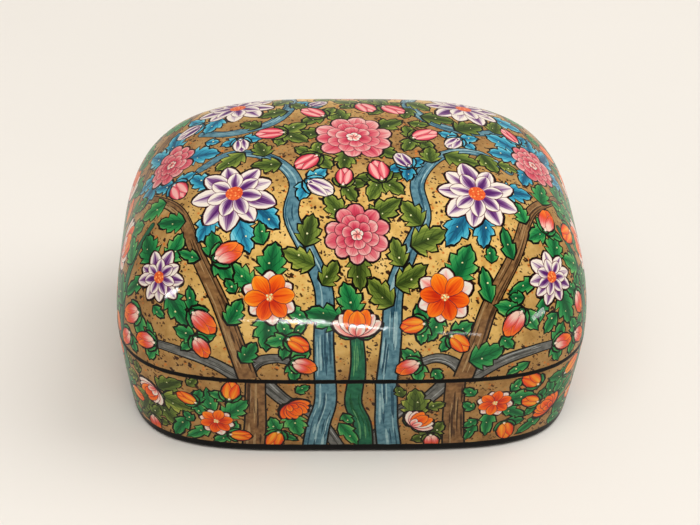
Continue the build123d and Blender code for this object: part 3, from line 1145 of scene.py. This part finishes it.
def paint_lid():
    """The flowers of all four quarters, the stems between them, then what fills the gaps."""
    art = lid_painting
    bloom(art, rosette, (0, 0), 12, "olive_leaf", "red_bud", 0.2)
    for x, y, hand in mirrored(37, 25):
        bloom(art, dahlia, (x, y), 12.5, "blue_leaf", "purple_petal", 0.3 * hand, hand)
    for x, y, hand in mirrored(0, 41):
        bloom(art, rosette, (x, y), 9.4, "olive_leaf", "red_bud", 0.3)
    for x, y, hand in mirrored(59, 0):
        bloom(art, rosette, (x, y), 9, "blue_leaf", "red_bud", 0.1)
    for x, y, hand in mirrored(30, 58):
        bloom(art, lily, (x, y), 8.2, "green_leaf", "yellow_bud", 0.5, hand)
    for x, y, hand in mirrored(65, 45):
        bloom(art, dahlia, (x, y), 8.2, "green_leaf", "coral_bud", 0.8, hand)
    for x, y, hand in mirrored(0, 70):
        bloom(art, fan_flower, (x, y), 6.8, "green_leaf", "coral_bud", math.copysign(math.pi / 2, -y))
    for x, y, hand in mirrored(84, 18):
        bloom(art, fan_flower, (x, y), 8.5, "green_leaf", "yellow_bud",
              math.pi * (x > 0) - 0.4 * hand, hand)
    stems = []
    for sy in (1, -1):
        for sx in (1, -1):
            for width, colour, end_share, controls in reversed(STEMS):
                way = way_up(controls, sx, sy, art.random)
                stem(art, way, width, colour, end_share)
                if colour == "grey_stem":
                    bud_on_stem(art, way, 7.6, "coral_bud", "green_leaf")
                else:
                    stems.append((way, "olive_leaf" if colour == "blue_stem" else "green_leaf"))
        width, colour, end_share, controls = MIDDLE_STEM
        stem(art, way_up(controls, 1, sy, art.random), width, colour, end_share)
    wreaths = {"blue_leaf": (8, 11.0), "olive_leaf": (5, 10.0), "green_leaf": (6, 10.5)}
    for flower in art.blooms:
        count, long = wreaths[flower.leafy]
        start = art.random.uniform(0, 1)
        wreath(art, art.place(flower.at), flower.radius * 0.70, count, long, flower.leafy, start)
    fill_gaps(art, anywhere_on_lid, ((bud_in_gap, 8.8, 1700, 1.6), (bud_in_gap, 7.2, 1200, 1.2)))
    for way, leafy in stems:
        leaves_along(art, way, leafy, 10.5, 5.5)
    fill_gaps(art, anywhere_on_lid, (
        (leaf_in_gap, 11.0, 400, 0.4), (leaf_in_gap, 9.0, 550, 0.3),
        (leaf_in_gap, 7.0, 800, 0.2), (leaf_in_gap, 5.0, 500, 0.0)))
    edge_line(art, lid_edge_line)


paint_lid()

LID_GRID = 4.0              # mm between the points that let the coat bend
LID_SPAN = 222.0            # side of the square that the flat layout is baked in
INNER_SCALE = 0.10          # the plain inner face is baked small, in a free corner
INNER_CORNER = 0.06


def lid_bake_place(where, hidden, centres):
    """The flat layout itself, and the plain inner face small in its corner."""
    places = where / LID_SPAN + 0.5
    places[hidden] = where[hidden] / LID_SPAN * INNER_SCALE + INNER_CORNER
    return places


lid_coat = make_coat("lid_painting", lid_painting, lid_edge_line, LID_GRID, lid_bake_place)
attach(lid_coat, "lid")
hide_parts("lid_painted_coat")


# ------------------------------------------------------------------ painted coat of the tray
# The same gesso, ground and lacquer on the tray's wall, between the black edge and the foot band.
# It is painted as one band that goes round, from the middle of the back: x is the way round in
# mm and y the height.

FOOT_DRAW_IN = 3.4
WALL_LEAN_CURVE = 1.28
TRAY_HEIGHT = 31.6
TRAY_COAT_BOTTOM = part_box("base_painted_coat")[0].z / MM
TRAY_COAT_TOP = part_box("base_painted_coat")[1].z / MM
BACK = math.pi / 2 + 0.12   # the band's ends meet here, in a gap between two stems

round_angles = np.linspace(BACK, BACK + 2 * math.pi, 2881)
round_reach = plan_radius(round_angles, HALF_WIDTH, HALF_DEPTH, JOIN_SQUARENESS)
round_points = round_reach[:, None] * np.stack([np.cos(round_angles), np.sin(round_angles)], axis=1)
round_way = np.concatenate([[0], np.cumsum(np.linalg.norm(np.diff(round_points, axis=0), axis=1))])
TRAY_AROUND = float(round_way[-1])


def tray_skin(points):
    """Wraps points of the band on the tray's leaning wall."""
    points = np.atleast_2d(points)
    angle = np.interp(points[:, 0] % TRAY_AROUND, round_way, round_angles)
    height = points[:, 1]
    lean = FOOT_DRAW_IN * np.clip(1 - height / TRAY_HEIGHT, 0, 1) ** WALL_LEAN_CURVE
    radius = plan_radius(angle, HALF_WIDTH - lean, HALF_DEPTH - lean, JOIN_SQUARENESS)
    return np.stack([radius * np.cos(angle), radius * np.sin(angle), height], axis=1)


def on_tray(at, margin):
    inside = TRAY_COAT_BOTTOM + margin < at[1] < TRAY_COAT_TOP - margin
    return inside and 0.6 + 2 * margin < at[0] < TRAY_AROUND - 0.6 - 2 * margin


def anywhere_on_tray(chance):
    return (chance.uniform(1, TRAY_AROUND - 1), chance.uniform(TRAY_COAT_BOTTOM, TRAY_COAT_TOP))


tray_painting = Painting(tray_skin, on_tray, seed=23, slim_share=0.7)


def below(x, y):
    """The place along the band's top under a place on the lid's join."""
    angle = math.atan2(y, x)
    while angle < BACK:
        angle += 2 * math.pi
    return float(np.interp(angle, round_angles, round_way))


def paint_tray():
    """The lid's stems carried on to the foot, flowers between them, then what fills the gaps."""
    art = tray_painting
    middle = (TRAY_COAT_BOTTOM + TRAY_COAT_TOP) / 2
    starts = []
    for sy in (1, -1):
        starts.append((below(0, sy), *MIDDLE_STEM[:2], 1.5))
        for sx in (1, -1):
            for width, colour, end_share, controls in STEMS[:3]:
                x, y = controls[0]
                starts.append((below(sx * x, sy * y), width, colour, -2.5 * sx * sy))
    starts.sort()
    for at, width, colour, lean in starts:
        if colour == "brown_stem":
            aside = math.copysign(1, lean)
            way = smooth_way([(at - 2 * aside, TRAY_COAT_TOP + 1), (at - 9 * aside, middle + 6),
                              (at - 17 * aside, middle + 1), (at - 26 * aside, TRAY_COAT_BOTTOM - 2)])
            stem(art, way, 4.2, "grey_stem", 0.8)
    for at, width, colour, lean in starts:
        sway = art.random.uniform(-1.5, 1.5)
        way = smooth_way([
            (at + 1.5 * lean + sway, TRAY_COAT_BOTTOM - 2), (at + 0.8 * lean + sway, middle - 4),
            (at + 0.1 * lean - 0.5 * sway, middle + 5), (at, TRAY_COAT_TOP + 1)])
        stem(art, way, width * 1.2, colour, 0.83)
    flowers = ((partial(fan_flower, outer="orange_petal"), 5.2, "yellow_bud", 0.7),
               (fan_flower, 5.4, "coral_bud", -0.8), (lily, 5.8, "yellow_bud", 0.3))
    order = 0
    ends = [start[0] for start in starts]
    for first, last in zip(ends, ends[1:]):
        room = last - first - 7
        count = int(room // 14)
        for k in range(count):
            flower, radius, budding, leaning = flowers[order % 3]
            high = order % 2
            at = (first + 3.5 + (k + 0.5) * room / count, middle + (3.6 if high else -4.0))
            bloom(art, flower, at, radius, "olive_leaf" if order % 3 == 1 else "green_leaf", budding,
                  leaning + (-math.pi / 2 if high else math.pi / 2))
            order += 1
    for flower in art.blooms:
        start = art.random.uniform(0, 1)
        wreath(art, art.place(flower.at), flower.radius * 0.60, 6, 11.5, flower.leafy, start)
    fill_gaps(art, anywhere_on_tray, (
        (bud_in_gap, 7.8, 2600, 2.0), (bud_in_gap, 6.6, 2000, 1.8),
        (leaf_in_gap, 14.0, 4000, 2.0), (leaf_in_gap, 11.0, 4000, 1.6),
        (leaf_in_gap, 7.4, 4000, 1.5), (leaf_in_gap, 5.0, 2000, 0.7)))
    for height in (TRAY_COAT_TOP, TRAY_COAT_BOTTOM):
        edge_line(art, np.array([(x, height) for x in np.arange(-1.0, TRAY_AROUND + 2, 1.6)]))


paint_tray()

TRAY_GRID = 3.2             # mm between the points that let the coat bend
TRAY_ROWS = 4               # the band is cut in this many rows to be baked
ROWS_WIDTH = 0.86           # share of the picture that they take up
ROWS_CORNER = 0.02
row_length = TRAY_AROUND / TRAY_ROWS
row_height = TRAY_COAT_TOP - TRAY_COAT_BOTTOM + 1


def tray_bake_place(where, hidden, centres):
    """The rows one above the other, with the plain inner face small in the free strip beside."""
    row = np.clip((centres[:, 0] // row_length), 0, TRAY_ROWS - 1)
    across = (where[:, 0] - row * row_length) / row_length
    up = (where[:, 1] - TRAY_COAT_BOTTOM + row * row_height) / row_length
    places = np.stack([across, up], axis=1) * ROWS_WIDTH + ROWS_CORNER
    places[hidden, 0] = 0.91 + 0.07 * where[hidden, 0] / TRAY_AROUND
    places[hidden, 1] = 0.05 + 0.02 * where[hidden, 1] / TRAY_COAT_TOP
    return places


EDGE_STEP = 2.2
along_edge = np.linspace(0, TRAY_AROUND, int(TRAY_AROUND / EDGE_STEP) + 1)
up_edge = np.linspace(TRAY_COAT_BOTTOM, TRAY_COAT_TOP, 10)
tray_edge = np.array(
    [(x, TRAY_COAT_BOTTOM) for x in along_edge[:-1]] + [(TRAY_AROUND, y) for y in up_edge[:-1]]
    + [(x, TRAY_COAT_TOP) for x in along_edge[:0:-1]] + [(0.0, y) for y in up_edge[:0:-1]])
fold_cuts = [((k * row_length, TRAY_COAT_BOTTOM + 0.01), (k * row_length, TRAY_COAT_TOP - 0.01))
             for k in range(1, TRAY_ROWS)]
tray_coat = make_coat("tray_painting", tray_painting, tray_edge, TRAY_GRID, tray_bake_place,
                      fold_cuts, TRAY_AROUND)
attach(tray_coat, "tray")
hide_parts("base_painted_coat")


# ------------------------------------------------------------------ floor, light and camera
# A pale table top before a backdrop of the same colour. Two broad soft windows, to the right and
# in front, light the box, and the lacquer mirrors only small ones: four short strips that make up
# the bright line along the lid's shoulder, and a glint at each corner.

CAMERA_LENS = 89.35
CAMERA_RISE = 36.0
CAMERA_SIDE = 2.66
CAMERA_ROLL = 1.51
CAMERA_DISTANCE = 0.5696
CAMERA_TARGET = Vector((-0.0001, 0.0, 0.0356))

TABLE_SIZE = 6.0
TABLE_COLOURS = (tone(0.80, 0.765, 0.71), tone(0.84, 0.80, 0.745))
BACKDROP_COLOUR = tone(0.84, 0.81, 0.76)
ROOM_LIGHT = 0.56
BOX_MIDDLE = (0, 0, 0.04)

bpy.ops.mesh.primitive_plane_add(size=TABLE_SIZE, location=(0, 0, 0))
floor = bpy.context.object
floor.name = "table_top"
floor_paint = new_material("table_top")
speckle = add_noise(floor_paint, object_place(floor_paint), 0.4, detail=3)
floor_colour = add_ramp(floor_paint, speckle, [(0.3, TABLE_COLOURS[0]), (0.7, TABLE_COLOURS[1])])
connect(floor_paint, floor_colour, "Base Color")
shader_of(floor_paint).inputs["Roughness"].default_value = 0.9
shader_of(floor_paint).inputs["Specular IOR Level"].default_value = 0.0
floor.data.materials.append(floor_paint)

# The room: bright overhead and behind, dim in front.
world = bpy.data.worlds.new("room")
bpy.context.scene.world = world
world.use_nodes = True
way = add_node(world, "ShaderNodeTexCoord").outputs["Generated"]
part = add_node(world, "ShaderNodeSeparateXYZ", {"Vector": way})
height = calculate(world, "MULTIPLY_ADD", part.outputs["Z"], 0.36, 0.5)
height = calculate(world, "MULTIPLY_ADD", part.outputs["Y"], 0.24, height)
room = add_ramp(world, height, [
    (0.30, tone(0.12, 0.095, 0.065)), (0.50, tone(0.29, 0.235, 0.175)),
    (0.64, tone(0.66, 0.60, 0.53)), (0.82, tone(1.0, 0.97, 0.93))])
background = world.node_tree.nodes["Background"]
world.node_tree.links.new(room, background.inputs["Color"])
background.inputs["Strength"].default_value = ROOM_LIGHT
backdrop = add_node(world, "ShaderNodeBackground", {"Color": BACKDROP_COLOUR, "Strength": 1.0})
seen = add_node(world, "ShaderNodeMixShader", {
    0: add_node(world, "ShaderNodeLightPath").outputs["Is Camera Ray"],
    1: background.outputs["Background"], 2: backdrop.outputs["Background"]})
world_output = world.node_tree.nodes["World Output"]
world.node_tree.links.new(seen.outputs["Shader"], world_output.inputs["Surface"])


def soft_window(name, place, aim, width, height, power, only_mirrored=False, roll=0.0):
    """A window that lights the box but isn't seen in its lacquer, or is only seen there."""
    light = bpy.data.lights.new(name, "AREA")
    light.shape = "RECTANGLE"
    light.size, light.size_y = width, height
    light.energy = power
    lamp = bpy.data.objects.new(name, light)
    lamp.location = place
    lamp.rotation_mode = "QUATERNION"
    track = (Vector(aim) - Vector(place)).to_track_quat("-Z", "Y")
    lamp.rotation_quaternion = track @ Quaternion((0, 0, 1), math.radians(roll))
    lamp.visible_glossy = only_mirrored
    lamp.visible_diffuse = not only_mirrored
    lamp.visible_camera = False
    bpy.context.scene.collection.objects.link(lamp)


def shoulder_strip(name, x, z, width, height, power, roll):
    """One piece of the bright line that the lacquer shows along the front of the shoulder."""
    soft_window(name, (x, -0.20, z), (x * 0.6, -0.053, 0.051), width, height, power, True, roll)


def glint(name, place, aim, width, height, power, roll):
    """A small window that the lacquer shows as a spot of light at one corner."""
    soft_window(name, place, aim, width, height, power, True, roll)


soft_window("window_right", (1.4, 0.22, 1.9), BOX_MIDDLE, 1.6, 1.6, 23)
soft_window("window_front", (-0.2, -1.1, 1.9), BOX_MIDDLE, 2.2, 1.4, 29)
shoulder_strip("strip_left", -0.036, 0.0455, 0.057, 0.003, 0.017, -10)
shoulder_strip("strip_middle", 0.0045, 0.0345, 0.030, 0.0035, 0.024, -28)
shoulder_strip("strip_bright", -0.0185, 0.0435, 0.024, 0.010, 0.044, -12)
shoulder_strip("strip_right", 0.063, 0.0167, 0.038, 0.004, 0.011, -7)
glint("glint_left", (-0.370, -0.273, 0.151), (-0.055, -0.045, 0.057), 0.100, 0.034, 0.72, 45)
glint("glint_right", (0.284, -0.241, 0.036), (0.055, -0.048, 0.052), 0.070, 0.022, 0.15, 14)

camera = bpy.data.objects.new("camera", bpy.data.cameras.new("camera"))
bpy.context.scene.collection.objects.link(camera)
rise, side = math.radians(CAMERA_RISE), math.radians(-CAMERA_SIDE)
away = Vector((math.sin(side) * math.cos(rise), -math.cos(side) * math.cos(rise), math.sin(rise)))
camera.location = CAMERA_TARGET + away * CAMERA_DISTANCE
camera.rotation_mode = "QUATERNION"
look = (-away).to_track_quat("-Z", "Y")
camera.rotation_quaternion = look @ Quaternion((0, 0, 1), math.radians(CAMERA_ROLL))
camera.data.lens = CAMERA_LENS
camera.data.sensor_width = 36
camera.data.clip_start = 0.01
bpy.context.scene.camera = camera
bpy.context.scene.view_settings.view_transform = "Standard"
